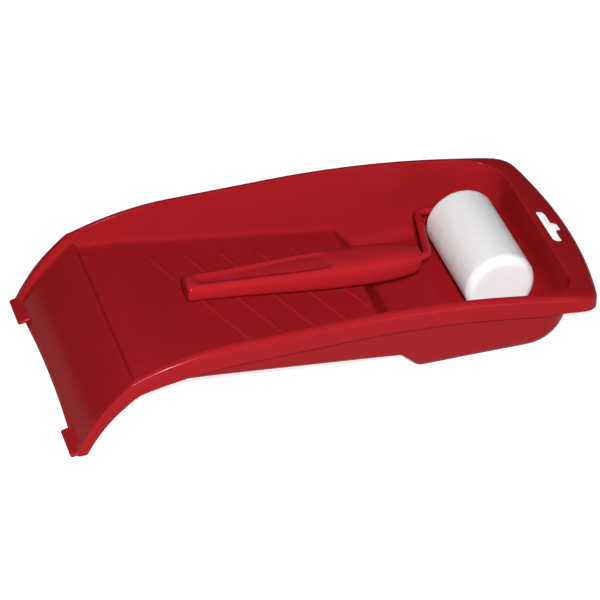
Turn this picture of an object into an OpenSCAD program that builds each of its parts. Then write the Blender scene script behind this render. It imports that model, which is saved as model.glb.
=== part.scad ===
// Mini paint tray with a foam roller lying in it. Millimetres, Z up, X along the tray, well at +X.
// The origin is on the table under the middle of the tray.

/* [Tray] */
// Length from the feet to the tip of the end flange
tray_length = 303; // [290:1:318]
// Width over the rim's skirt
tray_width = 139; // [132:1:150]
// Height of the rim where it is highest
rim_height = 51; // [48:0.5:57]
// Thickness of the moulded wall
wall = 1.5; // [1.3:0.1:1.7]
// Lean of the side walls away from upright, in degrees
wall_draft = 10; // [7:0.5:12]
// Inside radius where the floor turns up into a side wall
floor_fillet = 7; // [5:0.5:9]
// The same radius beside the ramp
ramp_fillet = 3; // [2:0.5:6]
// Width of the rim's top, from the wall's inner face to the outside of the skirt
rim_land = 4.4; // [4:0.1:6]
// Depth of the rim's down-turned skirt
rim_skirt = 12; // [8:0.5:14]
// Rounding of the rim's inner edge
rim_round = 0.8; // [0.6:0.1:1.2]
// Radius by which the rim rolls over into its skirt
rim_bead = 3.4; // [2:0.1:3.6]
// Radius of the arc by which the rim falls towards the well's end
rim_arc_r = 550; // [480:10:700]
// Distance from mid-length to the place where the rim starts to fall towards the lip
rim_level = 60; // [50:1:70]
// How far the rim has fallen where the ramp meets the lip
rim_fall = 11; // [8:0.5:12.5]

/* [Ramp and lip] */
// Slope of the ramp, in degrees
ramp_angle = 8.25; // [7.5:0.25:9]
// Height of the step between the well's floor and the ramp
riser_height = 13; // [10:0.5:13.5]
// Slope of the step, in degrees
riser_angle = 50; // [46:1:58]
// Length of the bend at the step's top edge, from its corner
riser_bend = 1.6; // [0.8:0.2:3]
// The same at the step's foot
riser_foot_bend = 3; // [1:0.2:4]
// Length of the lip, measured along the table
lip_run = 34.5; // [32:0.5:38]
// Height of the lip's side wall at the foot
lip_edge = 2.1; // [1.8:0.1:2.6]
// Depth of the rim's skirt beside the lip's foot
lip_skirt = 6; // [4:0.2:7]
// How far the lip swells out between the ramp and the foot
lip_bulge = 2.2; // [0:0.1:2.8]
// Rise of the lip's lower edge between the feet
lip_arch = 1.8; // [1:0.2:3]

/* [Ramp ribs] */
// Number of ribs across the ramp
rib_count = 5; // [5:1:6]
// Distance from one rib to the next along the ramp
rib_pitch = 20.5; // [16:0.5:22]
// Distance from the step to the first rib
rib_start = 9.5; // [8:0.5:16]
// Width of a rib
rib_width = 2.6; // [1.5:0.1:4]
// Height of a rib
rib_height = 0.7; // [0.5:0.1:1.4]
// Slant of the ribs away from straight across, in degrees
rib_slant = 23; // [0:1:32]
// Length of the ribs across the tray
rib_span = 92; // [70:1:94]

/* [Feet] */
// Width of a foot across the tray
foot_width = 22; // [16:1:26]
// Height of a foot
foot_height = 3.4; // [3:0.2:6]
// Thickness of a foot
foot_thick = 2.4; // [2:0.1:3]
// How far a foot stands out past the lip
foot_proud = 1.5; // [1:0.5:2.5]

/* [Well and end flange] */
// Length of the flat floor, from the step to the end curve
well_length = 65; // [63:0.5:71]
// Inside radius of the curve from the floor to the end wall
end_curve_r = 21; // [17:0.5:23]
// Radius of the floor's two corners at the end
corner_r = 6; // [4:0.5:8]
// Distance from the end wall's face to the tip of the flange
flange_reach = 21.5; // [19:0.5:26]
// How far the flange's edge bulges out at the middle
flange_bulge = 10.5; // [8:0.5:13]
// Depth of the flange's down-turned edge
flange_skirt = 7.5; // [5:0.5:9]
// Length of the hang slot
slot_length = 30.5; // [24:0.5:34]
// Width of the hang slot
slot_width = 5.6; // [4.8:0.1:6]
// Diameter of the hook hump on the outer side of the slot
slot_hump_d = 9; // [8:0.5:10]
// Distance from the flange's tip to the slot's middle line
slot_inset = 12; // [11:0.2:13]

/* [Roller refill] */
// Diameter of the foam sleeve
foam_d = 40; // [34:1:42]
// Length of the foam sleeve
foam_length = 68.6; // [62:0.2:72]
// Rounding of the sleeve's closed end
foam_round = 5; // [3:0.5:7]
// Rounding of the sleeve's open end
foam_round_far = 3; // [2:0.5:4]
// Thickness of foam over the closed end
foam_end = 8; // [6:0.5:10]
// Outside diameter of the core tube
core_d = 18; // [16:0.5:20]
// Wall of the core tube
core_wall = 1.5; // [1:0.1:2]
// Length of a bush inside the core tube
bush_length = 9; // [6:0.5:12]
// Thickness of the far bush's flange
bush_flange = 1.5; // [1:0.1:2]
// Distance from the axle to the start of the end curve
axle_inset = 8.5; // [7:0.5:12]
// Distance from the tray's middle line to the middle of the sleeve, towards the back
roller_shift = 2.7; // [0:0.1:5]

/* [Roller frame] */
// Diameter of the frame's wire
wire_d = 4.5; // [4:0.1:5.5]
// Radius of the wire's bends at their middle line
bend_r = 6; // [5:0.5:9]
// Space between the foam's far end and the wire beside it
arm_gap = 1; // [0.8:0.1:3]
// Slant of the wire beside the foam, towards its far end, in degrees
arm_slant = 11; // [4:1:16]
// Length of straight wire between the handle and the first bend
nose_lead = 0.7; // [0.3:0.1:3]
// Length of wire inside the handle
socket_depth = 64; // [40:1:90]
// Length of the stop collar
collar_length = 4; // [3:0.5:5]
// Diameter of the stop collar
collar_d = 11; // [9:0.5:13]
// Diameter of the retaining clip
clip_d = 11; // [9.5:0.5:12]
// Thickness of the retaining clip
clip_thick = 0.8; // [0.6:0.1:1.2]
// Length of wire past the clip
tip_length = 1.4; // [1:0.1:2]

/* [Handle] */
// Length of the handle
handle_length = 133.5; // [122:0.5:138]
// Width of the handle at its tail
tail_width = 15.5; // [13:0.5:19]
// Height of the handle at its tail
tail_height = 11; // [9:0.5:13]
// Width of the handle where it is widest
swell_width = 23.5; // [19:0.5:27]
// Height of the handle where it is widest
swell_height = 16.5; // [13:0.5:18]
// Distance from the tail to the widest place
swell_at = 96; // [88:1:104]
// Width and height of the flat at the handle's nose
nose_d = 10; // [8.5:0.5:12]
// Distance from the sleeve's middle to the handle's middle line, towards the wire's arm
handle_shift = 3.2; // [0:0.1:4]
// Depth of the recess along the handle's top
recess_depth = 1.7; // [0.6:0.1:2]
// Distance from the tail to the rounded end of the recess
recess_end = 84; // [74:1:94]
// Rounding of the handle's tail
tail_round = 2; // [1:0.5:3]

/* [Clearances] */
// Rest gap under the foam and under the handle's tail
rest_gap = 0.3; // [0.2:0.05:0.5]
// Radial running clearance of the bushes on the axle
run_gap = 0.06; // [0.03:0.01:0.1]
// Radial seat gap of pieces that are pushed or glued together
seat_gap = 0.03; // [0.01:0.01:0.05]
// Gap between pieces that turn past each other end to end
end_gap = 0.4; // [0.3:0.1:0.6]

/* [Hidden] */
$fn = 64;

tray_red = [0.70, 0.06, 0.08];
handle_red = [0.74, 0.08, 0.10];
coat_red = [0.62, 0.05, 0.07];
foam_white = [0.93, 0.92, 0.93];
nylon_white = [0.86, 0.86, 0.83];
tube_grey = [0.72, 0.72, 0.70];
clip_steel = [0.62, 0.63, 0.65];

// The well's underside is cut level at the table, so the moulding starts a little below it.
table_cut = 0.15;
floor_z = wall - table_cut;
half_width = tray_width / 2;
tip_x = tray_length / 2;
curve_x = tip_x - flange_reach - end_curve_r;
riser_foot_x = curve_x - well_length;
riser_top_x = riser_foot_x - riser_height / tan(riser_angle);
ramp_low_z = floor_z + riser_height;
crease_x = -tip_x + foot_proud + lip_run;
crease_z = ramp_low_z + (riser_top_x - crease_x) * tan(ramp_angle);
lip_angle = atan2(crease_z, lip_run - lip_edge / sin(atan2(crease_z, lip_run)));
lip_floor_run = crease_z / tan(lip_angle);
lip_foot_x = crease_x - lip_floor_run;
flange_arc_r = (half_width * half_width + flange_bulge * flange_bulge) / (2 * flange_bulge);

// Stations of the tray's skin along its length, and points on each arc of its section.
lip_steps = 6;
ramp_steps = 10;
well_steps = 4;
bend_steps = 3;
corner_steps = 9;
end_steps = 4;
fillet_steps = 4;
round_steps = 2;
bead_steps = 3;
lip_past = 0.05;
end_half = 1;
tiny = 0.001;
past = 1;

function mix(a, b, t) = a + (b - a) * t;
function ease(t) = let (c = min(1, max(0, t))) c * c * (3 - 2 * c);
function ramp_z(x) = ramp_low_z + (riser_top_x - x) * tan(ramp_angle);

// Height of the rim over the table, as a side view shows it
function rim_z(x) =
    x >= 0 ? rim_height - rim_arc_r + sqrt(rim_arc_r * rim_arc_r - x * x)
    : x > -rim_level ? rim_height
    : rim_height - rim_fall * pow((x + rim_level) / (crease_x + rim_level), 2);

// The skin's outer edge seen from above: straight sides, a bulging end and rounded corners between them
corner_power = 8;
function flange_x(y) = tip_x - flange_arc_r + sqrt(flange_arc_r * flange_arc_r - y * y);
function side_reach(p, turn) = (half_width - p.y) / max(cos(turn), tiny);
function end_reach(p, turn) =
    let (s = max(sin(turn), tiny), near = (flange_x(half_width) - p.x) / s)
    (flange_x(min(half_width, p.y + near * cos(turn))) - p.x) / s;
function outline_reach(p, turn) =
    let (a = side_reach(p, turn), b = end_reach(p, turn))
    pow(pow(a, -corner_power) + pow(b, -corner_power), -1 / corner_power);

// A station is [floor edge point, turn of the wall in plan, lean of the section, fillet, reach, skirt,
// height rule].
fillet_share = 0.55;
round_share = 0.3;
land_least = 0.2;
roll_share = 0.8;
roll_least = 0.05;
function fillet_for(h, most) = min(most, fillet_share * h);
function round_for(h, most) = min(most, round_share * h);
function bead_for(h) = round_for(h, min(rim_bead, rim_land - rim_round - land_least));
function wall_top_r(h, fillet) =
    fillet * cos(wall_draft)
    + (h - round_for(h, rim_round) - fillet * (1 - sin(wall_draft))) * tan(wall_draft);
skirt_full_x = -tip_x / 2;
function side_skirt(x) = mix(lip_skirt, rim_skirt, ease((x + tip_x) / (skirt_full_x + tip_x)));
function side_station(x, z, h, lean, most) =
    let (fillet = fillet_for(h, most), reach = wall_top_r(h, fillet) + rim_land)
    [[x, half_width - reach, z], 0, lean, fillet, reach, side_skirt(x), function (r) h];
function end_station(p, turn, fillet, reach) =
    [p, turn, 0, fillet, reach, mix(rim_skirt, flange_skirt, ease(turn / 90)),
        function (r) rim_z(p.x + r * sin(turn)) - p.z];

crease_h = rim_z(crease_x) - crease_z;
lean_share = 0.55;
lean_run = 35;
crease_lean = lean_share * lip_angle;
lean_from_x = crease_x + lean_run;
function lip_point(t) =
    let (out = lip_bulge * sin(180 * min(t, 1)))
    [crease_x - t * lip_floor_run - out * sin(lip_angle), crease_z * (1 - t) + out * cos(lip_angle)];
function lip_station(t) =
    let (p = lip_point(t))
    side_station(p.x, p.y, mix(crease_h, lip_edge, t * t), mix(crease_lean, lip_angle, ease(2 * t)),
        ramp_fillet);
function ramp_station(x) =
    side_station(x, ramp_z(x), rim_z(x) - ramp_z(x),
        crease_lean * ease((lean_from_x - x) / (lean_from_x - crease_x)), ramp_fillet);
function well_station(x) = side_station(x, floor_z, rim_z(x) - floor_z, 0, floor_fillet);

// The step's line runs from the ramp round its top edge, down its face and round its foot.
step_top = [riser_top_x, ramp_low_z];
step_foot = [riser_foot_x, floor_z];
step_down = [cos(riser_angle), -sin(riser_angle)];
step_up = [-cos(ramp_angle), sin(ramp_angle)];
function bent(a, b, c) =
    [for (i = [0:bend_steps]) let (t = i / bend_steps) mix(mix(a, b, t), mix(b, c, t), t)];
step_line = concat(
    bent(step_top + riser_bend * step_up, step_top, step_top + riser_bend * step_down),
    bent(step_foot - riser_foot_bend * step_down, step_foot, step_foot + [riser_foot_bend, 0]));
function step_station(p) =
    side_station(p.x, p.y, rim_z(p.x) - p.y, 0,
        mix(floor_fillet, ramp_fillet, (p.y - floor_z) / riser_height));

corner_x = curve_x - corner_r;
corner_y = well_station(corner_x)[0].y - corner_r;
function corner_station(turn) =
    let (p = [corner_x + corner_r * sin(turn), corner_y + corner_r * cos(turn), floor_z])
    end_station(p, turn, mix(floor_fillet, end_curve_r, ease(turn / 90)), outline_reach(p, turn));
function flange_station(y) =
    end_station([curve_x, y, floor_z], 90, end_curve_r, flange_x(y) - curve_x);

stations = concat(
    [for (i = [0:lip_steps - 1]) lip_station((1 + lip_past) * (1 - i / lip_steps))],
    [for (i = [0:ramp_steps]) ramp_station(mix(crease_x, step_line[0].x, i / ramp_steps))],
    [for (i = [1:len(step_line) - 1]) step_station(step_line[i])],
    [for (i = [1:well_steps]) well_station(mix(riser_foot_x + riser_foot_bend, corner_x, i / well_steps))],
    [for (i = [1:corner_steps]) corner_station(90 * i / corner_steps)],
    [for (i = [1:end_steps]) flange_station(mix(corner_y, end_half, i / end_steps))]);

// One half of a section, from the floor's edge up the inside, over the rim and back under the floor
function section(s) =
    let (fillet = s[3], reach = s[4], skirt = s[5], high = s[6],
        h = high(fillet + wall), soft = round_for(h, rim_round), bead = bead_for(h),
        top = wall_top_r(h, fillet), under = top + wall / cos(wall_draft), outer = fillet + wall,
        skin = reach - wall, roll = max(roll_least, min(bead - wall, roll_share * (skin - under))))
    concat(
        [for (i = [0:fillet_steps]) let (a = (90 - wall_draft) * i / fillet_steps)
            [fillet * sin(a), fillet * (1 - cos(a))]],
        [for (i = [0:round_steps]) let (a = 90 * i / round_steps, r = top + soft * (1 - cos(a)))
            [r, high(r) - soft * (1 - sin(a))]],
        [for (i = [0:bead_steps]) let (a = 90 * i / bead_steps, r = reach - bead * (1 - sin(a)))
            [r, high(r) - bead * (1 - cos(a))]],
        [[reach, high(reach) - skirt], [skin, high(reach) - skirt]],
        [for (i = [bead_steps:-1:0]) let (a = 90 * i / bead_steps, r = skin - roll * (1 - sin(a)))
            [r, high(r) - wall - roll * (1 - cos(a))]],
        [[under, high(under) - wall]],
        [for (i = [fillet_steps:-1:0]) let (a = (90 - wall_draft) * i / fillet_steps)
            [outer * sin(a), min(fillet - outer * cos(a), high(under) - wall)]]);
function placed(s, q, side) =
    [s[0].x + q.x * sin(s[1]) - q.y * sin(s[2]), side * (s[0].y + q.x * cos(s[1])), s[0].z + q.y * cos(s[2])];
function two(a, b, c, d) = [[a, b, c], [a, c, d]];

// A closed skin over rings of points, with a flat cap on the first ring and on the last
module loft(rings) {
    count = len(rings[0]);
    last = len(rings) - 1;
    function at(k, i) = k * count + i % count;
    side = [for (k = [0:last - 1], i = [0:count - 1])
        each two(at(k, i), at(k + 1, i), at(k + 1, i + 1), at(k, i + 1))];
    caps = [[for (i = [0:count - 1]) at(0, i)], [for (i = [count - 1:-1:0]) at(last, i)]];
    polyhedron([for (ring = rings) each ring], concat(side, caps));
}

module tray_skin() {
    ring = len(section(stations[0]));
    last = len(stations) - 1;
    points = [for (s = stations, side = [1, -1]) let (half = section(s)) for (q = half) placed(s, q, side)];
    function at(k, left, j) = (2 * k + left) * ring + j;
    skin = [for (k = [0:last - 1]) each concat(
        [for (j = [0:ring - 2]) each concat(
            two(at(k, 0, j), at(k, 0, j + 1), at(k + 1, 0, j + 1), at(k + 1, 0, j)),
            two(at(k, 1, j), at(k + 1, 1, j), at(k + 1, 1, j + 1), at(k, 1, j + 1)))],
        two(at(k, 1, 0), at(k, 0, 0), at(k + 1, 0, 0), at(k + 1, 1, 0)),
        two(at(k, 0, ring - 1), at(k, 1, ring - 1), at(k + 1, 1, ring - 1), at(k + 1, 0, ring - 1)))];
    foot_cap = [concat([for (j = [0:ring - 1]) at(0, 1, j)], [for (j = [ring - 1:-1:0]) at(0, 0, j)])];
    tip_cap = [for (j = [0:ring - 2])
        each two(at(last, 0, j), at(last, 0, j + 1), at(last, 1, j + 1), at(last, 1, j))];
    polyhedron(points, concat(skin, foot_cap, tip_cap));
}

// Each rib runs across the ramp as far as the ramp's ends and the rib span let it.
rib_sunk = 0.4;
rib_base_share = 1.4;
rib_top_share = 0.6;
ramp_length = (riser_top_x - crease_x) / cos(ramp_angle);
rib_skew = max(tan(rib_slant), tiny);
function rib_low_y(x) = max(-rib_span / 2, (x + rib_width) / rib_skew);
function rib_high_y(x) = min(rib_span / 2, (x + ramp_length - rib_width) / rib_skew);
module ramp_ribs() {
    translate([riser_top_x, 0, ramp_low_z - rib_sunk]) rotate([0, ramp_angle, 0])
        for (i = [0:rib_count - 1]) let (x = -rib_start - i * rib_pitch)
            hull() for (y = [rib_low_y(x), rib_high_y(x)]) translate([x - y * rib_skew, y, 0])
                cylinder(d1 = rib_base_share * rib_width, d2 = rib_top_share * rib_width,
                    h = rib_height + rib_sunk, $fn = 16);
}

// A foot is a low tab that runs out from the lip's face to the table.
foot_low = [-tip_x + foot_thick / 2, foot_thick / 2];
foot_high = [lip_foot_x + foot_height / tan(lip_angle), foot_height]
    + foot_thick / 2 * [sin(lip_angle), -cos(lip_angle)];
module foot() {
    hull() for (p = [foot_low, foot_high])
        translate([p.x, 0, p.y]) rotate([-90, 0, 0]) cylinder(d = foot_thick, h = foot_width, $fn = 24);
}

module hang_slot() {
    cut_z = rim_z(tip_x) - flange_skirt;
    translate([tip_x - slot_inset, 0, cut_z]) linear_extrude(2 * flange_skirt + wall) {
        hull() for (side = [-1, 1]) translate([0, side * (slot_length - slot_width) / 2])
            circle(d = slot_width);
        translate([slot_width / 2, 0]) circle(d = slot_hump_d);
    }
}

arch_half = half_width - foot_width;
arch_r = (arch_half * arch_half + lip_arch * lip_arch) / (2 * lip_arch);
module tray() {
    color(tray_red) difference() {
        union() {
            tray_skin();
            ramp_ribs();
            for (y = [half_width - foot_width, -half_width]) translate([0, y, 0]) foot();
        }
        hang_slot();
        translate([lip_foot_x - lip_run / 2, 0, lip_arch - arch_r]) rotate([0, 90, 0])
            cylinder(r = arch_r, h = lip_run);
        translate([-tray_length, -tray_width, -rim_height])
            cube([2 * tray_length, 2 * tray_width, rim_height]);
    }
}

// Places along the axle, from the middle of the foam towards the far end
far_end = foam_length / 2;
near_end = -foam_length / 2;
collar_at = far_end + end_gap;
cross_y = collar_at + collar_length + bend_r;
core_far = far_end - bush_flange;
core_near = near_end + foam_end + end_gap;
tip_y = core_near + end_gap;
clip_at = tip_y + tip_length;
near_bush_at = clip_at + clip_thick + end_gap;
core_bore_r = core_d / 2 - core_wall;

// The wire's arm slants from the handle's line to the far end, with a corner at each end of it.
wire_r = wire_d / 2;
foam_r = foam_d / 2;
arm_x = foam_r + arm_gap + wire_r;
arm_turn = 90 - arm_slant;
bend_cut = bend_r * tan(arm_turn / 2);
near_corner = [-arm_x - (far_end - handle_shift) * tan(arm_slant), handle_shift];
far_corner = [-arm_x + (cross_y - far_end) * tan(arm_slant), cross_y];

// The roller lies with its axle across the well, and the handle's tail comes down on the ramp.
axle_x = curve_x - axle_inset;
axle_z = floor_z + rest_gap + foam_r;
nose_x = bend_cut + nose_lead - near_corner.x;
tail_x = nose_x + handle_length;
tail_low = sqrt(tail_x * tail_x + pow(tail_height / 2, 2));
axle_over_ramp = (axle_x - riser_top_x) * sin(ramp_angle) + (axle_z - ramp_low_z) * cos(ramp_angle);
tool_tilt = atan2(tail_height / 2, tail_x) + ramp_angle
    + asin((rest_gap + rib_height - axle_over_ramp) / tail_low);
module tool_place() {
    translate([axle_x, roller_shift, axle_z]) rotate([0, tool_tilt, 0]) children();
}
module axle_place() {
    translate([axle_x, roller_shift, axle_z]) rotate([-90, 0, 0]) children();
}

// The wire's middle line in the tool's plane: each point has its x, its y and its direction.
wire_steps = 10;
wire_points = 32;
function bend(centre, from, turn) =
    [for (i = [0:wire_steps]) let (a = from + turn * i / wire_steps)
        [centre.x + bend_r * cos(a), centre.y + bend_r * sin(a), a + sign(turn) * 90]];
wire_line = concat(
    [[-nose_x - socket_depth, handle_shift, 0]],
    bend(near_corner + [-bend_cut, bend_r], -90, arm_turn),
    bend(far_corner + [bend_cut, -bend_r], 90 + arm_turn, -arm_turn),
    bend([-bend_r, cross_y - bend_r], 90, -90),
    [[0, tip_y, -90]]);
function wire_ring(p) =
    [for (i = [0:wire_points - 1]) let (t = 360 * i / wire_points, out = wire_r * cos(t))
        [p.x - out * sin(p.z), p.y + out * cos(p.z), wire_r * sin(t)]];
module wire_frame() {
    color(coat_red) tool_place() loft([for (p = wire_line) wire_ring(p)]);
}

module stop_collar() {
    color(nylon_white) axle_place() translate([0, 0, collar_at]) difference() {
        cylinder(d = collar_d, h = collar_length);
        translate([0, 0, -past]) cylinder(r = wire_r + seat_gap, h = collar_length + 2 * past);
    }
}

clip_slots = 6;
clip_slot_w = 1;
clip_rim = 1.2;
module retaining_clip() {
    color(clip_steel) axle_place() translate([0, 0, clip_at]) difference() {
        cylinder(d = clip_d, h = clip_thick);
        translate([0, 0, -past]) cylinder(r = wire_r + seat_gap, h = clip_thick + 2 * past);
        for (i = [0:clip_slots - 1]) rotate(360 * i / clip_slots) translate([0, -clip_slot_w / 2, -past])
            cube([clip_d / 2 - clip_rim, clip_slot_w, clip_thick + 2 * past]);
    }
}

module core_tube() {
    color(tube_grey) axle_place() translate([0, 0, core_near]) difference() {
        cylinder(d = core_d, h = core_far - core_near);
        translate([0, 0, -past]) cylinder(r = core_bore_r, h = core_far - core_near + 2 * past);
    }
}

module far_bush() {
    color(nylon_white) axle_place() difference() {
        union() {
            translate([0, 0, core_far]) cylinder(d = core_d, h = bush_flange);
            translate([0, 0, core_far - bush_length]) cylinder(r = core_bore_r - seat_gap, h = bush_length);
        }
        translate([0, 0, core_far - bush_length - past])
            cylinder(r = wire_r + run_gap, h = bush_length + bush_flange + 2 * past);
    }
}

module near_bush() {
    color(nylon_white) axle_place() translate([0, 0, near_bush_at]) difference() {
        cylinder(r = core_bore_r - seat_gap, h = bush_length);
        translate([0, 0, -past]) cylinder(r = wire_r + run_gap, h = bush_length + 2 * past);
    }
}

arc_steps = 8;
function quarter(centre, r, from) =
    [for (i = [0:arc_steps]) centre + r * [cos(from + 90 * i / arc_steps), sin(from + 90 * i / arc_steps)]];
module foam_sleeve() {
    bore_r = core_d / 2 + seat_gap;
    color(foam_white) axle_place() rotate_extrude() polygon(concat(
        [[0, core_near - end_gap], [0, near_end]],
        quarter([foam_r - foam_round, near_end + foam_round], foam_round, -90),
        quarter([foam_r - foam_round_far, far_end - foam_round_far], foam_round_far, 0),
        [[bore_r, far_end], [bore_r, core_near - end_gap]]));
}

// The handle's sections are rounded boxes along the tool's line, from the blunt tail to the round nose.
handle_steps = 20;
nose_steps = 9;
ring_points = 40;
section_power = 3;
nose_power = 2.1;
recess_from = 3;
recess_fade = 6;
recess_round = 16;
recess_tail_share = 0.1;
recess_share = 0.48;
recess_rim = 0.76;
function swell(a, tail, widest, nose) =
    a <= swell_at ? mix(tail, widest, ease(a / swell_at))
    : nose + (widest - nose) * pow(max(0, 1 - pow((a - swell_at) / (handle_length - swell_at), nose_power)),
        1 / nose_power);
// The recess lies between two ridges. It widens from the tail and ends round.
recess_wide_at = recess_end - recess_round;
function recess_edge(a) =
    mix(recess_tail_share, recess_share, ease((a - recess_from) / (recess_wide_at - recess_from)))
    * sqrt(max(0, 1 - pow(max(0, a - recess_wide_at) / recess_round, 2)));
function recess(a, share) =
    recess_depth * ease((a - recess_from) / recess_fade) * ease((recess_end - a) / recess_fade)
    * (1 - ease((abs(share) - recess_edge(a)) / (recess_rim - recess_edge(a))));
function signed_pow(v, p) = sign(v) * pow(abs(v), p);
function handle_ring(a, inset) =
    let (w = swell(a, tail_width, swell_width, nose_d) / 2 - inset,
        h = swell(a, tail_height, swell_height, nose_d) / 2 - inset)
    [for (i = [0:ring_points - 1]) let (t = 360 * (i + 0.5) / ring_points,
            y = signed_pow(cos(t), 2 / section_power), z = signed_pow(sin(t), 2 / section_power))
        [a - tail_x, w * y, h * z - (z > 0 ? recess(a, y) : 0)]];
handle_rings = concat(
    [for (i = [0:2]) handle_ring(tail_round * (1 - cos(45 * i)), tail_round * (1 - sin(45 * i)))],
    [for (i = [1:handle_steps]) handle_ring(mix(tail_round, swell_at, i / handle_steps), 0)],
    [for (i = [1:nose_steps]) handle_ring(mix(swell_at, handle_length, sin(90 * i / nose_steps)), 0)]);
module handle() {
    color(handle_red) tool_place() translate([0, handle_shift, 0]) difference() {
        loft(handle_rings);
        translate([-nose_x - socket_depth - end_gap, 0, 0]) rotate([0, 90, 0])
            cylinder(r = wire_r + seat_gap, h = socket_depth + end_gap + past);
    }
}

tray();
handle();
wire_frame();
stop_collar();
retaining_clip();
core_tube();
far_bush();
near_bush();
foam_sleeve();
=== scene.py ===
import math

import bmesh
import bpy
from mathutils import Matrix, Quaternion, Vector, noise


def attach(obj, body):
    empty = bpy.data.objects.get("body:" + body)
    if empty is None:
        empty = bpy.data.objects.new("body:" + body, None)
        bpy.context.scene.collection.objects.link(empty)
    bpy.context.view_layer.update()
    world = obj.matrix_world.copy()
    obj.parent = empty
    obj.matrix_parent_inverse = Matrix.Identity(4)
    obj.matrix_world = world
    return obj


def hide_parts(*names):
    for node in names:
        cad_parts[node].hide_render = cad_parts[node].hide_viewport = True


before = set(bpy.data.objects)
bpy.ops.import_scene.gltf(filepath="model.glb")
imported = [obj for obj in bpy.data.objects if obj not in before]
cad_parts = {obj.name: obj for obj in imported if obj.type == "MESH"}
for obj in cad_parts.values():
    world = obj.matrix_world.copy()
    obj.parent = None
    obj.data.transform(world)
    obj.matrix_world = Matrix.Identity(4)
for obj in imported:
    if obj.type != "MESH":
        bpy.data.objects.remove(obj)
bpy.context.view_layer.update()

mm = 0.001  # the pieces' sizes are in millimetres, the scene is in metres
touch = 0.001 * mm  # places nearer than this are the same
facing = 0.9  # a face looks along an axis if its normal has this share of it
capSides = 8  # a face with more sides than this is the cap of a round piece
quarter = math.pi / 2
sceneNow = bpy.context.scene


def mix(a, b, t):
    return a + (b - a) * t


def ease(t):
    c = min(1, max(0, t))
    return c * c * (3 - 2 * c)


def stepped(a, b, count):  # even steps that leave out a and end on b
    return [mix(a, b, (i + 1) / count) for i in range(count)]


def bent(a, b, c, count):  # a curve from a to c that leaves and ends along the lines through b
    line = []
    for u in [i / count for i in range(count + 1)]:
        line.append(tuple(mix(mix(p, q, u), mix(q, r, u), u) for p, q, r in zip(a, b, c)))
    return line


def clearSelection():
    if bpy.context.object and bpy.context.object.mode != "OBJECT":
        bpy.ops.object.mode_set(mode="OBJECT")
    bpy.ops.object.select_all(action="DESELECT")


def makeActive(piece):
    clearSelection()
    piece.select_set(True)
    bpy.context.view_layer.objects.active = piece


def started(name):  # the primitive that was just added, under its own name
    piece = bpy.context.object
    piece.name = piece.data.name = name
    bpy.ops.object.transform_apply(location=True, rotation=True, scale=True)
    return piece


def boxStarted(name, size, middle, turnY=0.0):  # a box from its size and middle in mm
    clearSelection()
    bpy.ops.mesh.primitive_cube_add(size=1)
    box = bpy.context.object
    box.scale, box.location = Vector(size) * mm, Vector(middle) * mm
    box.rotation_euler.y = turnY
    return started(name)


def copied(piece, matrix):  # a copy with a mesh of its own
    twin = piece.copy()
    twin.data = piece.data.copy()
    sceneNow.collection.objects.link(twin)
    twin.data.transform(matrix)
    return twin


def editing(piece):
    makeActive(piece)
    bpy.ops.object.mode_set(mode="EDIT")


def editingDone():
    bpy.ops.object.mode_set(mode="OBJECT")


def pick(piece, kind, test):  # selects verts, edges or faces of the piece in edit mode
    bpy.ops.mesh.select_mode(type=kind)
    bpy.ops.mesh.select_all(action="DESELECT")
    mesh = bmesh.from_edit_mesh(piece.data)
    for part in {"VERT": mesh.verts, "EDGE": mesh.edges, "FACE": mesh.faces}[kind]:
        if test(part):
            part.select_set(True)
    mesh.select_flush_mode()
    bmesh.update_edit_mesh(piece.data)


def joined(piece, other, operation):  # one Boolean, applied, and the other object is gone
    makeActive(piece)
    made = piece.modifiers.new("Join", "BOOLEAN")
    made.object, made.operation, made.solver = other, operation, "EXACT"
    bpy.ops.object.modifier_apply(modifier=made.name)
    bpy.data.objects.remove(other)


def weld(piece, reach=0.01):  # closes seams, drops empty faces and turns the rest outwards
    editing(piece)
    bpy.ops.mesh.select_all(action="SELECT")
    bpy.ops.mesh.remove_doubles(threshold=reach * mm)
    bpy.ops.mesh.dissolve_degenerate(threshold=touch)
    bpy.ops.mesh.select_all(action="SELECT")
    bpy.ops.mesh.normals_make_consistent(inside=False)
    editingDone()


def smooth(piece, angle):
    makeActive(piece)
    bpy.ops.object.shade_smooth_by_angle(angle=math.radians(angle))


def drapedGrid(name, rows):  # a grid primitive whose lines follow the given rows of points, in mm
    across, along = len(rows[0]) - 1, len(rows) - 1
    clearSelection()
    bpy.ops.mesh.primitive_grid_add(x_subdivisions=across, y_subdivisions=along, size=1)
    piece = started(name)
    for v in piece.data.vertices:
        v.co = Vector(rows[round((v.co.y + 0.5) * along)][round((v.co.x + 0.5) * across)]) * mm
    return piece


def plug(tree, slot, value):
    if isinstance(value, Signal):
        tree.links.new(value.socket, slot)
    else:
        slot.default_value = value


class Signal:  # a socket that takes part in maths
    def __init__(self, tree, socket):
        self.tree, self.socket = tree, socket

    def maths(self, operation, first, second):
        made = self.tree.nodes.new("ShaderNodeMath")
        made.operation = operation
        for slot, value in zip(made.inputs, (first, second)):
            plug(self.tree, slot, value)
        return Signal(self.tree, made.outputs["Value"])

    def __add__(self, other):
        return self.maths("ADD", self, other)

    def __radd__(self, other):
        return self.maths("ADD", other, self)

    def __sub__(self, other):
        return self.maths("SUBTRACT", self, other)

    def __rsub__(self, other):
        return self.maths("SUBTRACT", other, self)

    def __mul__(self, other):
        return self.maths("MULTIPLY", self, other)

    def __rmul__(self, other):
        return self.maths("MULTIPLY", other, self)


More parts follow.
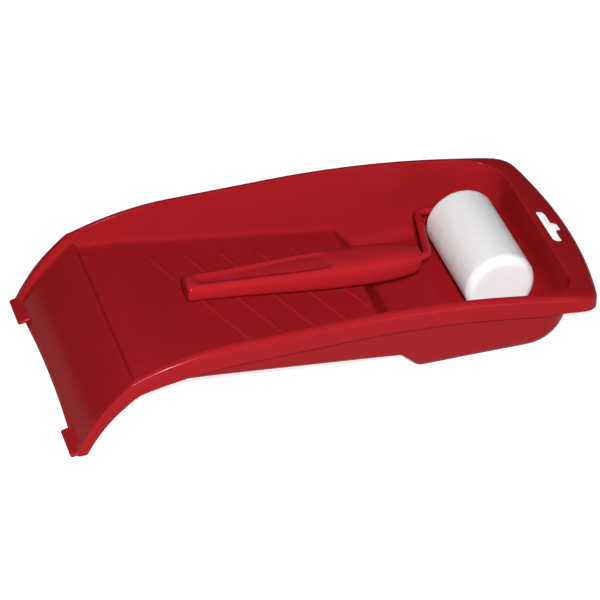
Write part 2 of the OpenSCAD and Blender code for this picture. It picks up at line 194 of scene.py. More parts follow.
class Graph:  # one node tree, and the one way in which its nodes are made
    def __init__(self, tree):
        self.tree = tree
        tree.nodes.clear()

    def node(self, kind, settings=None, sockets=None, out=0):
        made = self.tree.nodes.new(kind)
        for name, value in (settings or {}).items():
            if name == "stops":
                self.setStops(made.color_ramp, value)
            else:
                setattr(made, name, value)
        for name, value in (sockets or {}).items():
            plug(self.tree, made.inputs[name], value)
        return Signal(self.tree, made.outputs[out]) if made.outputs else None

    def setStops(self, ramp, stops):
        ramp.elements[0].position, ramp.elements[1].position = stops[0][0], stops[-1][0]
        for at, level in stops[1:-1]:
            ramp.elements.new(at)
        for stop, (at, level) in zip(ramp.elements, stops):
            stop.color = (level, level, level, 1)


class Finish(Graph):  # one material
    def __init__(self, name):
        self.material = bpy.data.materials.new(name)
        self.material.use_nodes = True
        Graph.__init__(self, self.material.node_tree)
        self.place = self.node("ShaderNodeTexCoord", out="Object")

    def noise(self, scale, detail, vector=None, rough=0.55):
        return self.node("ShaderNodeTexNoise", {}, {
            "Vector": vector or self.place, "Scale": scale, "Detail": detail, "Roughness": rough}, "Fac")

    def ramp(self, value, stops):
        return self.node("ShaderNodeValToRGB", {"stops": stops}, {"Fac": value}, "Color")

    def tint(self, amount, low, high):  # between two colours
        return self.node("ShaderNodeMix", {"data_type": "RGBA"},
                         {0: amount, 6: (*low, 1), 7: (*high, 1)}, 2)

    def stretched(self, scale):
        return self.node("ShaderNodeMapping", {}, {"Vector": self.place, "Scale": scale}, "Vector")

    def bumped(self, height, depth, strength=1.0):
        return self.node("ShaderNodeBump", {},
                         {"Strength": strength, "Distance": depth * mm, "Height": height}, "Normal")

    def shown(self, surface):
        self.node("ShaderNodeOutputMaterial", {}, {"Surface": surface})
        return self.material

    def done(self, **sockets):  # the shader and the output
        named = {name.replace("_", " "): value for name, value in sockets.items()}
        return self.shown(self.node("ShaderNodeBsdfPrincipled", {}, named, "BSDF"))


def dress(piece, material):
    piece.data.materials.clear()
    piece.data.materials.append(material)


tray = {
    "length": 303, "width": 139, "wall": 1.5, "tableCut": 0.15,
    "rimHeight": 51, "rimLand": 4.4, "rimSkirt": 12, "rimRound": 0.8, "rimBead": 3.4, "roundShare": 0.3,
    "rollShare": 0.8, "rollLeast": 0.05, "rimArc": 550, "rimLevel": 60, "rimFall": 11,
    "draft": 10, "floorFillet": 7, "rampFillet": 3, "filletShare": 0.55,
    "rampAngle": 8.25, "riserHeight": 13, "riserAngle": 50, "riserBend": 1.6, "riserFootBend": 3,
    "lipRun": 34.5, "lipEdge": 2.1, "lipSkirt": 6, "lipBulge": 2.2, "lipArch": 1.8,
    "leanShare": 0.55, "leanRun": 35,
    "creaseRound": 1.2, "creaseRampShare": 0.3,
    "grooveAt": 0.4, "grooveFall": 3.0, "grooveRise": 22, "grooveDepth": 1.8, "grooveRows": 8,
    "footWidth": 22, "footHeight": 3.4, "footThick": 2.4, "footProud": 1.5, "footRoundShare": 0.49,
    "wellLength": 65, "endCurve": 21, "corner": 6, "cornerPower": 8,
    "flangeReach": 21.5, "flangeBulge": 10.5, "flangeSkirt": 7.5,
    "slotLength": 30.5, "slotWidth": 5.6, "slotHump": 9, "slotInset": 12, "slotPoints": 40,
    "floorColumns": 14, "filletSteps": 10, "wallSteps": 6, "roundSteps": 5, "landSteps": 2, "skirtSteps": 5,
    "lipRows": 26, "creaseRows": 6, "rampRows": 40, "bendRows": 6, "wellRows": 14, "cornerRows": 20,
    "sharpOver": 32,
}
draft = math.radians(tray["draft"])
rampAngle = math.radians(tray["rampAngle"])
riserAngle = math.radians(tray["riserAngle"])
floorZ = tray["wall"] - tray["tableCut"]
halfWidth, tipX = tray["width"] / 2, tray["length"] / 2
curveX = tipX - tray["flangeReach"] - tray["endCurve"]
riserFootX = curveX - tray["wellLength"]
riserTopX = riserFootX - tray["riserHeight"] / math.tan(riserAngle)
rampLowZ = floorZ + tray["riserHeight"]
creaseX = -tipX + tray["footProud"] + tray["lipRun"]
creaseZ = rampLowZ + (riserTopX - creaseX) * math.tan(rampAngle)
edgeRun = tray["lipEdge"] / math.sin(math.atan2(creaseZ, tray["lipRun"]))
lipAngle = math.atan2(creaseZ, tray["lipRun"] - edgeRun)
lipFloorRun = creaseZ / math.tan(lipAngle)
lipFootX = creaseX - lipFloorRun
skirtRun = tipX / 2  # from the lip's end the skirt deepens over this length
flangeArc = (halfWidth ** 2 + tray["flangeBulge"] ** 2) / (2 * tray["flangeBulge"])
archHalf = halfWidth - tray["footWidth"]
archRadius = (archHalf ** 2 + tray["lipArch"] ** 2) / (2 * tray["lipArch"])


def rampZ(x):  # the straight ramp, with a shallow groove beside the crease
    past = x - creaseX - tray["grooveAt"]
    dip = ease(past / tray["grooveFall"]) - ease((past - tray["grooveFall"]) / tray["grooveRise"])
    return rampLowZ + (riserTopX - x) * math.tan(rampAngle) - tray["grooveDepth"] * dip


def rimZ(x):  # level in the middle, falling to the lip and on an arc to the flange
    if x >= 0:
        return tray["rimHeight"] - tray["rimArc"] + math.sqrt(tray["rimArc"] ** 2 - x * x)
    if x > -tray["rimLevel"]:
        return tray["rimHeight"]
    return tray["rimHeight"] - tray["rimFall"] * ((x + tray["rimLevel"]) / (creaseX + tray["rimLevel"])) ** 2


def flangeX(y):  # the bowed end
    return tipX - flangeArc + math.sqrt(flangeArc ** 2 - y * y)


def outlineReach(x, y, turn):  # from the floor's corner to the outline, whose own corner is rounded
    tiny = 0.001
    c, s = max(math.cos(turn), tiny), max(math.sin(turn), tiny)
    side = (halfWidth - y) / c
    near = (flangeX(halfWidth) - x) / s
    end = (flangeX(min(halfWidth, y + near * math.cos(turn))) - x) / s
    power = tray["cornerPower"]
    return (side ** -power + end ** -power) ** (-1 / power)


def softened(h, most):  # a round that shrinks where the wall is low
    return min(most, tray["roundShare"] * h)


def wallTop(h, fillet):  # how far the wall leans out from the floor's edge
    straight = h - softened(h, tray["rimRound"]) - fillet * (1 - math.sin(draft))
    return fillet * math.cos(draft) + straight * math.tan(draft)


def sideStation(x, z, h, lean, most):  # where one section of the side wall stands, and its sizes
    fillet = min(most, tray["filletShare"] * h)
    reach = wallTop(h, fillet) + tray["rimLand"]
    skirt = mix(tray["lipSkirt"], tray["rimSkirt"], ease((x + tipX) / skirtRun))
    return {"x": x, "y": halfWidth - reach, "z": z, "turn": 0, "lean": lean, "fillet": fillet,
            "reach": reach, "skirt": skirt, "high": lambda r: h}


def endStation(x, y, turn, fillet, reach):  # the same round the corner and along the end
    skirt = mix(tray["rimSkirt"], tray["flangeSkirt"], ease(turn / quarter))
    return {"x": x, "y": y, "z": floorZ, "turn": turn, "lean": 0, "fillet": fillet, "reach": reach,
            "skirt": skirt, "high": lambda r: rimZ(x + r * math.sin(turn)) - floorZ}


creaseH = rimZ(creaseX) - creaseZ
creaseLean = tray["leanShare"] * lipAngle


def lipPoint(t):  # on the lip's bulging face, from the crease at 0 to the foot at 1
    out = tray["lipBulge"] * math.sin(math.pi * t)
    return (creaseX - t * lipFloorRun - out * math.sin(lipAngle),
            creaseZ * (1 - t) + out * math.cos(lipAngle))


def lipLean(t):  # the walls lean fully from half way down the lip
    return mix(creaseLean, lipAngle, ease(2 * t))


def lipHeight(t):
    return mix(creaseH, tray["lipEdge"], t * t)


def lipStation(t):
    x, z = lipPoint(t)
    return sideStation(x, z, lipHeight(t), lipLean(t), tray["rampFillet"])


def rampStation(x):
    lean = creaseLean * ease((creaseX + tray["leanRun"] - x) / tray["leanRun"])
    return sideStation(x, rampZ(x), rimZ(x) - rampZ(x), lean, tray["rampFillet"])


def wellStation(x):
    return sideStation(x, floorZ, rimZ(x) - floorZ, 0, tray["floorFillet"])


def archZ(y):  # the lip's lower edge rises between the feet
    rise = tray["lipArch"] - archRadius + math.sqrt(archRadius ** 2 - y * y)
    return max(0, rise) if abs(y) < archHalf else 0


def sectionHalf(s):  # from the floor's edge outwards: the upper points, and the lower ones under them
    fillet, reach, high, wall = s["fillet"], s["reach"], s["high"], tray["wall"]
    h = high(fillet + wall)
    soft, bead = softened(h, tray["rimRound"]), softened(h, tray["rimBead"])
    top, outer = wallTop(h, fillet), fillet + wall
    under = top + wall / math.cos(draft)
    upper, lower = [(0, 0)], [(0, -wall)]
    for a in stepped(0, quarter - draft, tray["filletSteps"]):
        upper.append((fillet * math.sin(a), fillet * (1 - math.cos(a))))
        lower.append((outer * math.sin(a), min(fillet - outer * math.cos(a), high(under) - wall)))
    wallFrom, lowFrom = upper[-1], lower[-1]
    wallTo, lowTo = (top, high(top) - soft), (under, high(under) - wall)
    for t in stepped(0, 1, tray["wallSteps"]):
        upper.append((mix(wallFrom[0], wallTo[0], t), mix(wallFrom[1], wallTo[1], t)))
        lower.append((mix(lowFrom[0], lowTo[0], t), mix(lowFrom[1], lowTo[1], t)))
    for a in stepped(0, quarter, tray["roundSteps"]):
        r = top + soft * (1 - math.cos(a))
        upper.append((r, high(r) - soft * (1 - math.sin(a))))
    for r in stepped(top + soft, reach - bead, tray["landSteps"]):
        upper.append((r, high(r)))
    for a in stepped(0, quarter, tray["roundSteps"]):
        r = reach - bead * (1 - math.sin(a))
        upper.append((r, high(r) - bead * (1 - math.cos(a))))
    skin = reach - wall
    roll = max(tray["rollLeast"], min(bead - wall, tray["rollShare"] * (skin - under)))
    for r in stepped(under, skin - roll, tray["roundSteps"] + tray["landSteps"]):
        lower.append((r, high(r) - wall))
    for a in stepped(0, quarter, tray["roundSteps"]):
        r = skin - roll * (1 - math.sin(a))
        lower.append((r, high(r) - wall - roll * (1 - math.cos(a))))
    bottom = high(reach) - s["skirt"]
    for t in stepped(0, 1, tray["skirtSteps"]):
        upper.append((reach, mix(high(reach) - bead, bottom, t)))
        lower.append((skin, mix(high(skin) - wall - roll, bottom, t)))
    return upper, lower


def placed(s, q):  # a point of a section, put at its station
    return (s["x"] + q[0] * math.sin(s["turn"]) - q[1] * math.sin(s["lean"]),
            s["y"] + q[0] * math.cos(s["turn"]), s["z"] + q[1] * math.cos(s["lean"]))


def traySide(s, floorTop, floorUnder):  # one half of a row, from the middle line outwards
    upper, lower = sectionHalf(s)
    return floorTop + [placed(s, q) for q in upper], floorUnder + [placed(s, q) for q in lower]


def levelSide(s, kept):  # kept is how many floor columns are still apart, fewer along the end flange
    columns, wall = tray["floorColumns"], tray["wall"]
    ys = [s["y"] * min(1, f / kept) if kept else s["y"] for f in range(columns)]
    under = (s["x"] + wall * math.sin(s["lean"]), s["z"] - wall * math.cos(s["lean"]))
    return traySide(s, [(s["x"], y, s["z"]) for y in ys], [(under[0], y, under[1]) for y in ys])


def lipSide(t):
    s = lipStation(t)
    fall = creaseZ + math.pi * tray["lipBulge"] * math.cos(lipAngle)
    top, under = [], []
    for f in range(tray["floorColumns"]):
        y = s["y"] * f / tray["floorColumns"]
        own = t * (1 - archZ(y) / fall)
        x, z = lipPoint(own)
        lean = lipLean(own)
        top.append((x, y, z))
        under.append((x + tray["wall"] * math.sin(lean), y, z - tray["wall"] * math.cos(lean)))
    return traySide(s, top, under)


def creaseSides():  # a small round between the lip and the ramp
    t = tray["creaseRound"] / lipFloorRun
    rampX = creaseX + tray["creaseRound"] * tray["creaseRampShare"]
    ends = (lipPoint(t), (creaseX, creaseZ), (rampX, rampZ(rampX)))
    fromTop, toTop = lipHeight(t) + ends[0][1], rimZ(rampX)
    fromLean, toLean = lipLean(t), rampStation(rampX)["lean"]
    sides = []
    for i, (x, z) in enumerate(bent(*ends, tray["creaseRows"])):
        u = i / tray["creaseRows"]
        station = sideStation(x, z, mix(fromTop, toTop, u) - z, mix(fromLean, toLean, u), tray["rampFillet"])
        sides.append(levelSide(station, tray["floorColumns"]))
    return sides


def stepLine():  # from the ramp round the step's top edge, down its face and round its foot
    r, f = tray["riserBend"], tray["riserFootBend"]
    down = (math.cos(riserAngle), -math.sin(riserAngle))
    top, foot = (riserTopX, rampLowZ), (riserFootX, floorZ)
    before = (top[0] - r * math.cos(rampAngle), top[1] + r * math.sin(rampAngle))
    after = (top[0] + r * down[0], top[1] + r * down[1])
    low = (foot[0] - f * down[0], foot[1] - f * down[1])
    rounds = (before, top, after), (low, foot, (foot[0] + f, floorZ))
    return [point for ends in rounds for point in bent(*ends, tray["bendRows"])]


def trayRows():  # closed sections from the lip's foot to the end flange
    columns = tray["floorColumns"]
    firstT = tray["creaseRound"] / lipFloorRun
    sides = [lipSide(mix(1, firstT, i / tray["lipRows"])) for i in range(tray["lipRows"])]
    sides += creaseSides()
    step = stepLine()
    grooveX = creaseX + tray["grooveAt"]
    lowX = grooveX + tray["grooveFall"]
    along = [grooveX] + stepped(grooveX, lowX, tray["grooveRows"])
    along += stepped(lowX, step[0][0], tray["rampRows"])[:-1]
    sides += [levelSide(rampStation(x), columns) for x in along]
    for x, z in step:
        most = mix(tray["floorFillet"], tray["rampFillet"], (z - floorZ) / tray["riserHeight"])
        sides.append(levelSide(sideStation(x, z, rimZ(x) - z, 0, most), columns))
    cornerX = curveX - tray["corner"]
    sides += [levelSide(wellStation(x), columns) for x in stepped(step[-1][0], cornerX, tray["wellRows"])]
    cornerY = wellStation(cornerX)["y"] - tray["corner"]
    for turn in stepped(0, quarter, tray["cornerRows"]):
        x, y = cornerX + tray["corner"] * math.sin(turn), cornerY + tray["corner"] * math.cos(turn)
        fillet = mix(tray["floorFillet"], tray["endCurve"], ease(turn / quarter))
        sides.append(levelSide(endStation(x, y, turn, fillet, outlineReach(x, y, turn)), columns))
    for kept in reversed(range(columns)):  # along the flange the floor's own line is followed inwards
        y = cornerY * kept / columns
        station = endStation(curveX, y, quarter, tray["endCurve"], flangeX(y) - curveX)
        sides.append(levelSide(station, kept))
    sides.insert(0, (sides[0][0], sides[0][0]))  # the lip's foot closes on itself
    rows = []
    for top, under in sides:
        mirrored = [[(x, -y, z) for x, y, z in points] for points in (under, top)]
        rows.append(top + under[::-1] + mirrored[0][1:] + mirrored[1][::-1])
    return rows


ribs = {
    "count": 5, "pitch": 20.5, "start": 9.5, "slant": 23, "span": 92, "margin": 2.6,
    "base": 4.0, "top": 1.4, "height": 0.7, "sunk": 0.5, "round": 0.4, "roundSteps": 4,
}


def makeRib(length):  # one low bar with a rounded back
    high = ribs["height"] + ribs["sunk"]
    piece = boxStarted("rampRib", (ribs["base"], length, high), (0, 0, (ribs["height"] - ribs["sunk"]) / 2))
    editing(piece)
    pick(piece, "FACE", lambda f: f.normal.z > facing)
    bpy.ops.transform.resize(value=(ribs["top"] / ribs["base"], 1 - ribs["base"] / length, 1))
    pick(piece, "EDGE", lambda e: min(v.co.z for v in e.verts) > 0)
    bpy.ops.mesh.bevel(offset=ribs["round"] * mm, segments=ribs["roundSteps"], affect="EDGES")
    editingDone()
    return piece


def makeRibs():  # one rib and its copies, cut short where the step is in their way
    slant = math.radians(ribs["slant"])
    half = ribs["span"] / 2
    first = makeRib(ribs["span"] / math.cos(slant))
    ramp = Matrix.Translation(Vector((riserTopX, 0, rampLowZ)) * mm) @ Matrix.Rotation(rampAngle, 4, "Y")
    made = []
    for i in range(ribs["count"]):
        x = -ribs["start"] - i * ribs["pitch"]
        low = max(-half, (x + ribs["margin"]) / math.tan(slant))
        piece = copied(first, Matrix.Identity(4))
        editing(piece)
        pick(piece, "VERT", lambda v: v.co.y < 0)
        bpy.ops.transform.translate(value=(0, (low + half) / math.cos(slant) * mm, 0))
        editingDone()
        piece.data.transform(ramp @ Matrix.Translation((x * mm, 0, 0)) @ Matrix.Rotation(slant, 4, "Z"))
        made.append(piece)
    bpy.data.objects.remove(first)
    return made


def makeFeet():  # low tabs that run out from the lip's face to the table
    thick = tray["footThick"]
    low = (-tipX + thick / 2, thick / 2)
    high = (lipFootX + tray["footHeight"] / math.tan(lipAngle) + thick / 2 * math.sin(lipAngle),
            tray["footHeight"] - thick / 2 * math.cos(lipAngle))
    run, rise = high[0] - low[0], high[1] - low[1]
    middle = ((low[0] + high[0]) / 2, halfWidth - tray["footWidth"] / 2, (low[1] + high[1]) / 2)
    size = (math.hypot(run, rise) + thick, tray["footWidth"], thick)
    piece = boxStarted("trayFoot", size, middle, -math.atan2(rise, run))
    editing(piece)
    bpy.ops.mesh.select_all(action="SELECT")
    bpy.ops.mesh.bevel(offset=thick * tray["footRoundShare"] * mm, segments=tray["roundSteps"],
                       affect="EDGES")
    editingDone()
    return [piece, copied(piece, Matrix.Translation((0, -(tray["width"] - tray["footWidth"]) * mm, 0)))]


def makeSlotCutter():  # a long slot with a round hump for the hook
    points, width, deep = tray["slotPoints"], tray["slotWidth"], tray["rimHeight"]
    clearSelection()
    bpy.ops.mesh.primitive_circle_add(vertices=points, radius=width / 2 * mm, fill_type="NGON")
    cutter = started("slotCutter")
    editing(cutter)
    for side in (1, -1):
        pick(cutter, "VERT", lambda v: side * v.co.y > touch)
        bpy.ops.transform.translate(value=(0, side * (tray["slotLength"] - width) / 2 * mm, 0))
    bpy.ops.mesh.select_all(action="SELECT")
    bpy.ops.mesh.extrude_region_move(TRANSFORM_OT_translate={"value": (0, 0, deep * mm)})
    bpy.ops.mesh.select_all(action="SELECT")
    bpy.ops.mesh.normals_make_consistent(inside=False)
    editingDone()
    clearSelection()
    bpy.ops.mesh.primitive_cylinder_add(vertices=points, radius=tray["slotHump"] / 2 * mm, depth=deep * mm,
                                        location=(width / 2 * mm, 0, deep / 2 * mm))
    joined(cutter, started("slotHump"), "UNION")
    cutter.data.transform(Matrix.Translation(((tipX - tray["slotInset"]) * mm, 0, tray["flangeSkirt"] * mm)))
    return cutter


def makeTray():  # the shell's sections change along its length, so it is draped and not extruded
    skin = drapedGrid("trayShell", trayRows())
    weld(skin)
    editing(skin)  # what would lie under the table is pressed flat on it
    pick(skin, "VERT", lambda v: v.co.z < 0)
    bpy.ops.transform.resize(value=(1, 1, 0), center_override=(0, 0, 0))
    editingDone()
    weld(skin)
    print("tray skin:", len(skin.data.polygons), "faces")
    for extra in makeFeet() + makeRibs():
        joined(skin, extra, "UNION")
    joined(skin, makeSlotCutter(), "DIFFERENCE")
    weld(skin)
    smooth(skin, tray["sharpOver"])
    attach(skin, "tray")
    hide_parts("tray")
    print("tray:", len(skin.data.polygons), "faces with ribs, feet and slot")
    return skin


foam = {
    "diameter": 40, "length": 68.6, "bore": 18.06, "endWall": 8,
    "roundNear": 5, "roundFar": 3, "roundSteps": 9,
    "axleInset": 8.5, "shift": 2.7, "restGap": 0.3,
    "around": 128, "cuts": 40, "faceRings": (0.2, 0.28, 0.4),
    "grain": 0.12, "grainScale": 260, "grainSink": 0.6, "sharpOver": 50,
}
axle = Vector((curveX - foam["axleInset"], foam["shift"], floorZ + foam["restGap"] + foam["diameter"] / 2))


def makeFoam():  # a sleeve with a blind bore, its near end closed
    half, radius, bore = foam["length"] / 2 * mm, foam["diameter"] / 2 * mm, foam["bore"] / 2 * mm
    low, high = -half + foam["roundNear"] * mm, half - foam["roundFar"] * mm
    clearSelection()
    bpy.ops.mesh.primitive_cylinder_add(vertices=foam["around"], radius=radius, depth=2 * half)
    piece = started("foamSleeve")
    editing(piece)
    for side, soft in ((-1, foam["roundNear"]), (1, foam["roundFar"])):
        pick(piece, "EDGE", lambda e: all(abs(v.co.z - side * half) < touch for v in e.verts))
        bpy.ops.mesh.bevel(offset=soft * mm, segments=foam["roundSteps"], affect="EDGES")
    pick(piece, "FACE", lambda f: f.normal.z > facing and len(f.verts) > capSides)
    bpy.ops.mesh.inset(thickness=radius - foam["roundFar"] * mm - bore)
    deep = (foam["length"] - foam["endWall"]) * mm
    bpy.ops.mesh.extrude_region_move(TRANSFORM_OT_translate={"value": (0, 0, -deep)})
    pick(piece, "FACE", lambda f: f.normal.z < -facing and len(f.verts) > capSides)
    for share in foam["faceRings"]:
        bpy.ops.mesh.inset(thickness=share * (radius - foam["roundNear"] * mm))
    for at in stepped(low, high, foam["cuts"])[:-1]:
        bpy.ops.mesh.select_all(action="SELECT")
        bpy.ops.mesh.bisect(plane_co=(0, 0, at), plane_no=(0, 0, 1))
    editingDone()
    for v in piece.data.vertices:  # the skin of cut foam is never quite even
        if v.co.xy.length > bore + mm or v.co.z < low:
            push = foam["grain"] * mm * (noise.noise(v.co * foam["grainScale"]) - foam["grainSink"])
            v.co += push * (v.co - Vector((0, 0, max(low, min(high, v.co.z))))).normalized()
    piece.data.transform(Matrix.Translation(axle * mm) @ Matrix.Rotation(-quarter, 4, "X"))
    smooth(piece, foam["sharpOver"])
    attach(piece, "refill")
    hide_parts("foam_sleeve")
    print("foam sleeve:", len(piece.data.polygons), "faces")
    return piece


handle = {
    "shift": 3.2, "tail": 168.441, "length": 133.5,
    "tailWidth": 15.5, "tailHeight": 11, "swellWidth": 23.5, "swellHeight": 16.5, "swellAt": 96,
    "nose": 10, "nosePower": 2.1, "sectionPower": 3, "tailRound": 2,
    "recessDepth": 1.7, "recessFrom": 3, "recessFade": 6, "recessEnd": 84, "recessRound": 16,
    "recessTailShare": 0.1, "recessShare": 0.48, "recessRim": 0.76,
    "around": 96, "rows": 64, "noseRows": 24, "tailRows": 6, "capInset": 2, "boreRound": 0.5, "sharpOver": 40,
}
# the roller lies on the well's floor, and the handle's tail on the ribs
overRamp = (axle.x - riserTopX) * math.sin(rampAngle) + (axle.z - rampLowZ) * math.cos(rampAngle)
tailLow = math.hypot(handle["tail"], handle["tailHeight"] / 2)
toolTilt = (math.atan2(handle["tailHeight"] / 2, handle["tail"]) + rampAngle
            + math.asin((foam["restGap"] + ribs["height"] - overRamp) / tailLow))
toolPlace = Matrix.Translation(axle * mm) @ Matrix.Rotation(toolTilt, 4, "Y")


def swell(a, tail, widest):  # a width or height of the handle, a from its tail
    at, length, nose, power = handle["swellAt"], handle["length"], handle["nose"], handle["nosePower"]
    if a <= at:
        return mix(tail, widest, ease(a / at))
    return nose + (widest - nose) * max(0, 1 - ((a - at) / (length - at)) ** power) ** (1 / power)


def recess(a, share):  # a hollow between two ridges, which widens from the tail and ends round
    start, end, fade = handle["recessFrom"], handle["recessEnd"], handle["recessFade"]
    wideAt = end - handle["recessRound"]
    past = max(0, a - wideAt) / handle["recessRound"]
    edge = mix(handle["recessTailShare"], handle["recessShare"], ease((a - start) / (wideAt - start)))
    edge *= math.sqrt(max(0, 1 - past * past))
    depth = handle["recessDepth"] * ease((a - start) / fade) * ease((end - a) / fade)
    return depth * (1 - ease((abs(share) - edge) / (handle["recessRim"] - edge)))


def signedPower(v, p):
    return math.copysign(abs(v) ** p, v)


def handleRing(a, inset):
    w = swell(a, handle["tailWidth"], handle["swellWidth"]) / 2 - inset
    h = swell(a, handle["tailHeight"], handle["swellHeight"]) / 2 - inset
    ring = []
    for i in range(handle["around"] + 1):
        t = 2 * math.pi * (i % handle["around"]) / handle["around"]
        y = signedPower(math.cos(t), 2 / handle["sectionPower"])
        z = signedPower(math.sin(t), 2 / handle["sectionPower"])
        ring.append((a - handle["tail"], w * y, h * z - (recess(a, y) if z > 0 else 0)))
    return ring


def makeHandle():  # a round tail, the swelling grip and a blunt nose, hollowed where the wire goes in
    r = handle["tailRound"]
    rings = [handleRing(r * (1 - math.cos(a)), r * (1 - math.sin(a)))
             for a in [0] + stepped(0, quarter, handle["tailRows"])]
    rings += [handleRing(a, 0) for a in stepped(r, handle["swellAt"], handle["rows"])]
    rings += [handleRing(mix(handle["swellAt"], handle["length"], math.sin(b)), 0)
              for b in stepped(0, quarter, handle["noseRows"])]
    piece = drapedGrid("rollerHandle", rings)
    weld(piece)
    editing(piece)
    pick(piece, "EDGE", lambda e: e.is_boundary)
    bpy.ops.mesh.fill_holes(sides=0)
    pick(piece, "FACE", lambda f: f.normal.x > 0 and len(f.verts) > capSides)
    bpy.ops.mesh.inset(thickness=handle["capInset"] * mm, depth=0)
    bpy.ops.mesh.inset(thickness=handle["boreRound"] * mm, depth=-handle["boreRound"] * mm)
    bpy.ops.mesh.select_all(action="SELECT")
    bpy.ops.mesh.normals_make_consistent(inside=False)
    editingDone()
    piece.data.transform(toolPlace @ Matrix.Translation((0, handle["shift"] * mm, 0)))
    smooth(piece, handle["sharpOver"])
    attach(piece, "roller_frame")
    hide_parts("handle")
    print("handle:", len(piece.data.polygons), "faces")
    return piece


redLook = {
    "deep": (0.325, 0.0108, 0.0138), "bright": (0.372, 0.0124, 0.0158),
    "flowScale": 16, "flowDetail": 3.0, "flowStretch": (1, 2.4, 2.4), "flowShare": 0.6,
    "mottleScale": 170, "mottleDetail": 4.0, "grainScale": 2600, "grainDetail": 2.0,
    "rough": 0.15, "roughSpread": 0.05, "bump": 0.02, "specular": 0.06,
}
# the handle's red is a lighter copy of the tray's red: partly the handle's own tone, partly painted light
# standing in for the brightly lit ridge along its top
handleLook = dict(redLook, deep=(0.420, 0.0138, 0.0180), bright=(0.485, 0.0160, 0.0210),
                  rough=0.16, specular=0.09)
foamLook = {
    "pore": (0.90, 0.88, 0.895), "white": (0.99, 0.975, 0.988), "skinShare": 0.75, "ragged": 0.5,
    "poreScale": 1500, "fineScale": 3200, "cloudScale": 60, "detail": 3.0,
    "bump": 0.25, "bumpStrength": 0.8, "poreShare": 0.6, "rough": 0.9, "roughSpread": 0.1, "specular": 0.2,
}
smallLooks = {
    "coatRed": {"deep": (0.40, 0.0115, 0.016), "bright": (0.46, 0.0135, 0.019), "scale": 240, "rough": 0.35,
                "spread": 0.1, "metal": 0.0, "bump": 0.02, "specular": 0.2},
    "nylonWhite": {"deep": (0.66, 0.65, 0.61), "bright": (0.74, 0.73, 0.69), "scale": 300, "rough": 0.5,
                   "spread": 0.15, "metal": 0.0, "bump": 0.02, "specular": 0.4},
    "tubeGrey": {"deep": (0.44, 0.44, 0.42), "bright": (0.52, 0.52, 0.50), "scale": 300, "rough": 0.55,
                 "spread": 0.15, "metal": 0.0, "bump": 0.02, "specular": 0.4},
    "clipSteel": {"deep": (0.50, 0.51, 0.53), "bright": (0.62, 0.63, 0.65), "scale": 500, "rough": 0.32,
                  "spread": 0.2, "metal": 1.0, "bump": 0.01, "specular": 0.5},
}
smallDetail, fineDetail, fineTimes = 3.0, 2.0, 9  # the small pieces' fine noise is 9 times finer
noiseMean = 0.5
softStep = [(0.30, 0.0), (0.70, 1.0)]
poreStep = [(0.05, 0.0), (0.45, 1.0)]


def redPlastic(name, look):
    f = Finish(name)
    flow = f.noise(look["flowScale"], look["flowDetail"], f.stretched(look["flowStretch"]))
    mottle = f.noise(look["mottleScale"], look["mottleDetail"])
    grain = f.noise(look["grainScale"], look["grainDetail"])
    shade = flow * look["flowShare"] + mottle * (1 - look["flowShare"])
    colour = f.tint(f.ramp(shade, softStep), look["deep"], look["bright"])
    rough = look["rough"] + (grain + mottle - 2 * noiseMean) * look["roughSpread"]
    height = (grain + mottle) * 0.5  # the mean of both
    return f.done(Base_Color=colour, Roughness=rough, Normal=f.bumped(height, look["bump"]),
                  Specular_IOR_Level=look["specular"])


def foamFinish(look):
    f = Finish("foamFinish")
    pores = f.node("ShaderNodeTexVoronoi", {"feature": "F1"},
                   {"Vector": f.place, "Scale": look["poreScale"]}, "Distance")
    cloud = f.noise(look["cloudScale"], look["detail"])
    fine = f.noise(look["fineScale"], look["detail"])
    skin = f.ramp(pores + (fine - noiseMean) * look["ragged"], poreStep)
    shade = skin * look["skinShare"] + cloud * (1 - look["skinShare"])
    height = pores * look["poreShare"] + fine * (1 - look["poreShare"])
    return f.done(Base_Color=f.tint(shade, look["pore"], look["white"]),
                  Roughness=look["rough"] + (fine - noiseMean) * look["roughSpread"],
                  Normal=f.bumped(height, look["bump"], look["bumpStrength"]),
                  Specular_IOR_Level=look["specular"])


def plainFinish(name, look):  # nylon, tube plastic, coat and steel
    f = Finish(name)
    mottle = f.noise(look["scale"], smallDetail)
    fine = f.noise(look["scale"] * fineTimes, fineDetail)
    colour = f.tint(f.ramp(mottle, softStep), look["deep"], look["bright"])
    return f.done(Base_Color=colour, Roughness=look["rough"] + (fine - noiseMean) * look["spread"],
                  Metallic=look["metal"], Normal=f.bumped(fine, look["bump"]),
                  Specular_IOR_Level=look["specular"])


dress(makeTray(), redPlastic("trayRed", redLook))
dress(makeHandle(), redPlastic("handleRed", handleLook))
dress(makeFoam(), foamFinish(foamLook))
smallFinishes = {name: plainFinish(name, look) for name, look in smallLooks.items()}
for node, name in {"wire_frame": "coatRed", "stop_collar": "nylonWhite", "far_bush": "nylonWhite",
                   "near_bush": "nylonWhite", "core_tube": "tubeGrey", "retaining_clip": "clipSteel"}.items():
    dress(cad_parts[node], smallFinishes[name])
print("materials set")

studio = {  # in metres and watts
    "floorSize": 14, "floorZ": -0.0002, "floorColour": (0.50, 0.50, 0.50), "floorLift": 0.80,
    "mirrorShare": 0.3, "sky": (0.035, 0.035, 0.035), "lampsAt": (0.0, 0.0, 0.02),
    "lamps": {
        "keyPanel": {"power": 26.5, "size": 0.14, "from": (-0.28, -1.13, 1.03), "glints": True},
        "lowPanel": {"power": 3.0, "size": 0.5, "from": (0.60, -1.25, 0.035), "glints": True},
        "backPanel": {"power": 7.0, "size": 0.5, "from": (0.0, 1.50, 0.16), "glints": False},
    },
}
camera = {  # its place and lens in millimetres, its clipping in metres
    "at": (-387.44, -1247.34, 1029.49), "look": (0.23180, 0.75515, -0.61320), "roll": -0.928,
    "lens": 182.36, "sensor": 36, "near": 0.05, "far": 50,
}


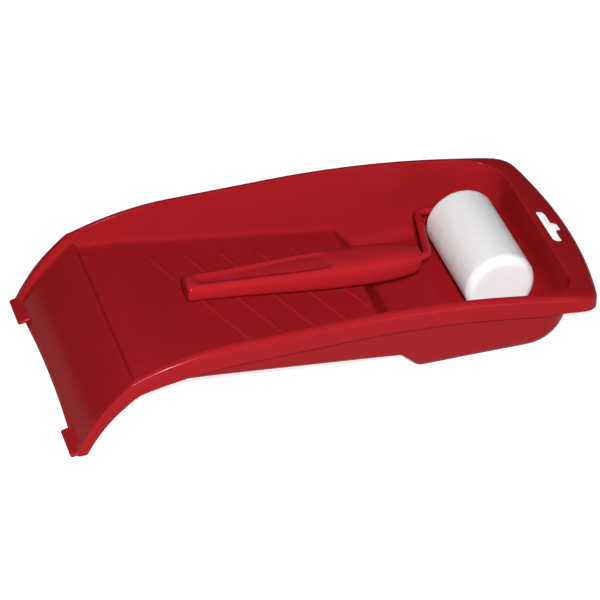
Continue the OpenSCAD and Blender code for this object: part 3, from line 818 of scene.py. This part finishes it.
def makeFloor():  # paper with the part's shadow, lifted to white where it is seen or mirrored
    clearSelection()
    bpy.ops.mesh.primitive_plane_add(size=studio["floorSize"], location=(0, 0, studio["floorZ"]))
    floor = started("paleFloor")
    f = Finish("palePaper")
    direct, glossy, through = (f.node("ShaderNodeLightPath", out=f"Is {ray} Ray")
                               for ray in ("Camera", "Glossy", "Transmission"))
    seen = direct + (glossy + through) * studio["mirrorShare"]
    paper = f.node("ShaderNodeBsdfPrincipled", {}, {
        "Base Color": (*studio["floorColour"], 1), "Roughness": 1.0, "Specular IOR Level": 0.0,
        "Emission Color": seen * studio["floorLift"], "Emission Strength": 1.0}, "BSDF")
    dress(floor, f.shown(paper))


def makeLight():  # a dim room and the lamps, of which the one behind only brightens matt shade
    world = bpy.data.worlds.new("dimRoom")
    world.use_nodes = True
    room = Graph(world.node_tree)
    glow = room.node("ShaderNodeBackground", {},
                     {"Color": (*studio["sky"], 1), "Strength": 1.0}, "Background")
    room.node("ShaderNodeOutputWorld", {}, {"Surface": glow})
    sceneNow.world = world
    for name, panel in studio["lamps"].items():
        light = bpy.data.lights.new(name, "AREA")
        light.energy, light.shape, light.size = panel["power"], "DISK", panel["size"]
        lamp = bpy.data.objects.new(name, light)
        sceneNow.collection.objects.link(lamp)
        lamp.location, lamp.visible_glossy = panel["from"], panel["glints"]
        aim = Vector(studio["lampsAt"]) - lamp.location
        lamp.rotation_euler = aim.to_track_quat("-Z", "Y").to_euler()


def makeCamera():
    lens = bpy.data.cameras.new("photoView")
    lens.lens, lens.sensor_width = camera["lens"], camera["sensor"]
    lens.clip_start, lens.clip_end = camera["near"], camera["far"]
    eye = bpy.data.objects.new("photoView", lens)
    sceneNow.collection.objects.link(eye)
    eye.location = Vector(camera["at"]) * mm
    eye.rotation_mode = "QUATERNION"
    roll = Quaternion((0, 0, 1), math.radians(camera["roll"]))
    eye.rotation_quaternion = Vector(camera["look"]).to_track_quat("-Z", "Y") @ roll
    sceneNow.camera = eye


makeFloor()
makeLight()
makeCamera()
sceneNow.view_settings.view_transform = "Standard"
print("floor, light and camera set")

clearSelection()
